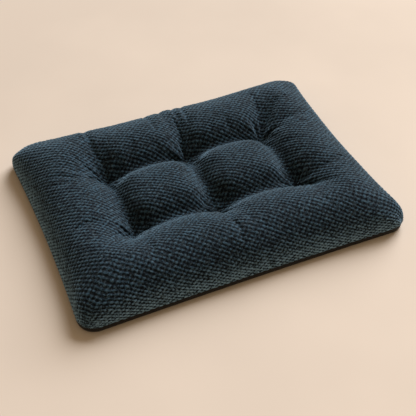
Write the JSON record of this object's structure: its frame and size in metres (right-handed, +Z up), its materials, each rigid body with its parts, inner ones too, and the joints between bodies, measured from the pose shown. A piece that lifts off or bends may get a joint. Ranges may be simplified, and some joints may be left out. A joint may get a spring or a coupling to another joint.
{
  "type": "pet cushion bed",
  "caption": "Rectangular tufted cushion with a popcorn plush top sewn to a shallow dark base tray, padded with foam and loose fibre.",
  "frame": {"origin": "middle of the underside, on the surface that the bed rests on", "axes": "+X along the length, +Y across the width, +Z up out of the plush top"},
  "size_m": [0.6098, 0.4596, 0.061],
  "materials": {
    "plush": "popcorn-textured plush, soft sheen",
    "base_cloth": "matt woven non-slip cloth",
    "foam": "open-cell polyurethane foam sheet",
    "fibre": "loose polyester fibre",
    "thread": "twisted polyester thread",
    "felt": "pressed felt"
  },
  "bodies": {
    "root": {"base_cloth": "base_cloth", "base_foam": "foam", "fibre_fill": "fibre", "plush_cover": "plush", "seam_thread": "thread", "tuft_tie_1": "thread", "tuft_tie_2": "thread", "tuft_tie_3": "thread", "tuft_tie_4": "thread", "tuft_tie_5": "thread", "tuft_tie_6": "thread", "tuft_washer_1": "felt", "tuft_washer_2": "felt", "tuft_washer_3": "felt", "tuft_washer_4": "felt", "tuft_washer_5": "felt", "tuft_washer_6": "felt"}
  },
  "joints": []
}
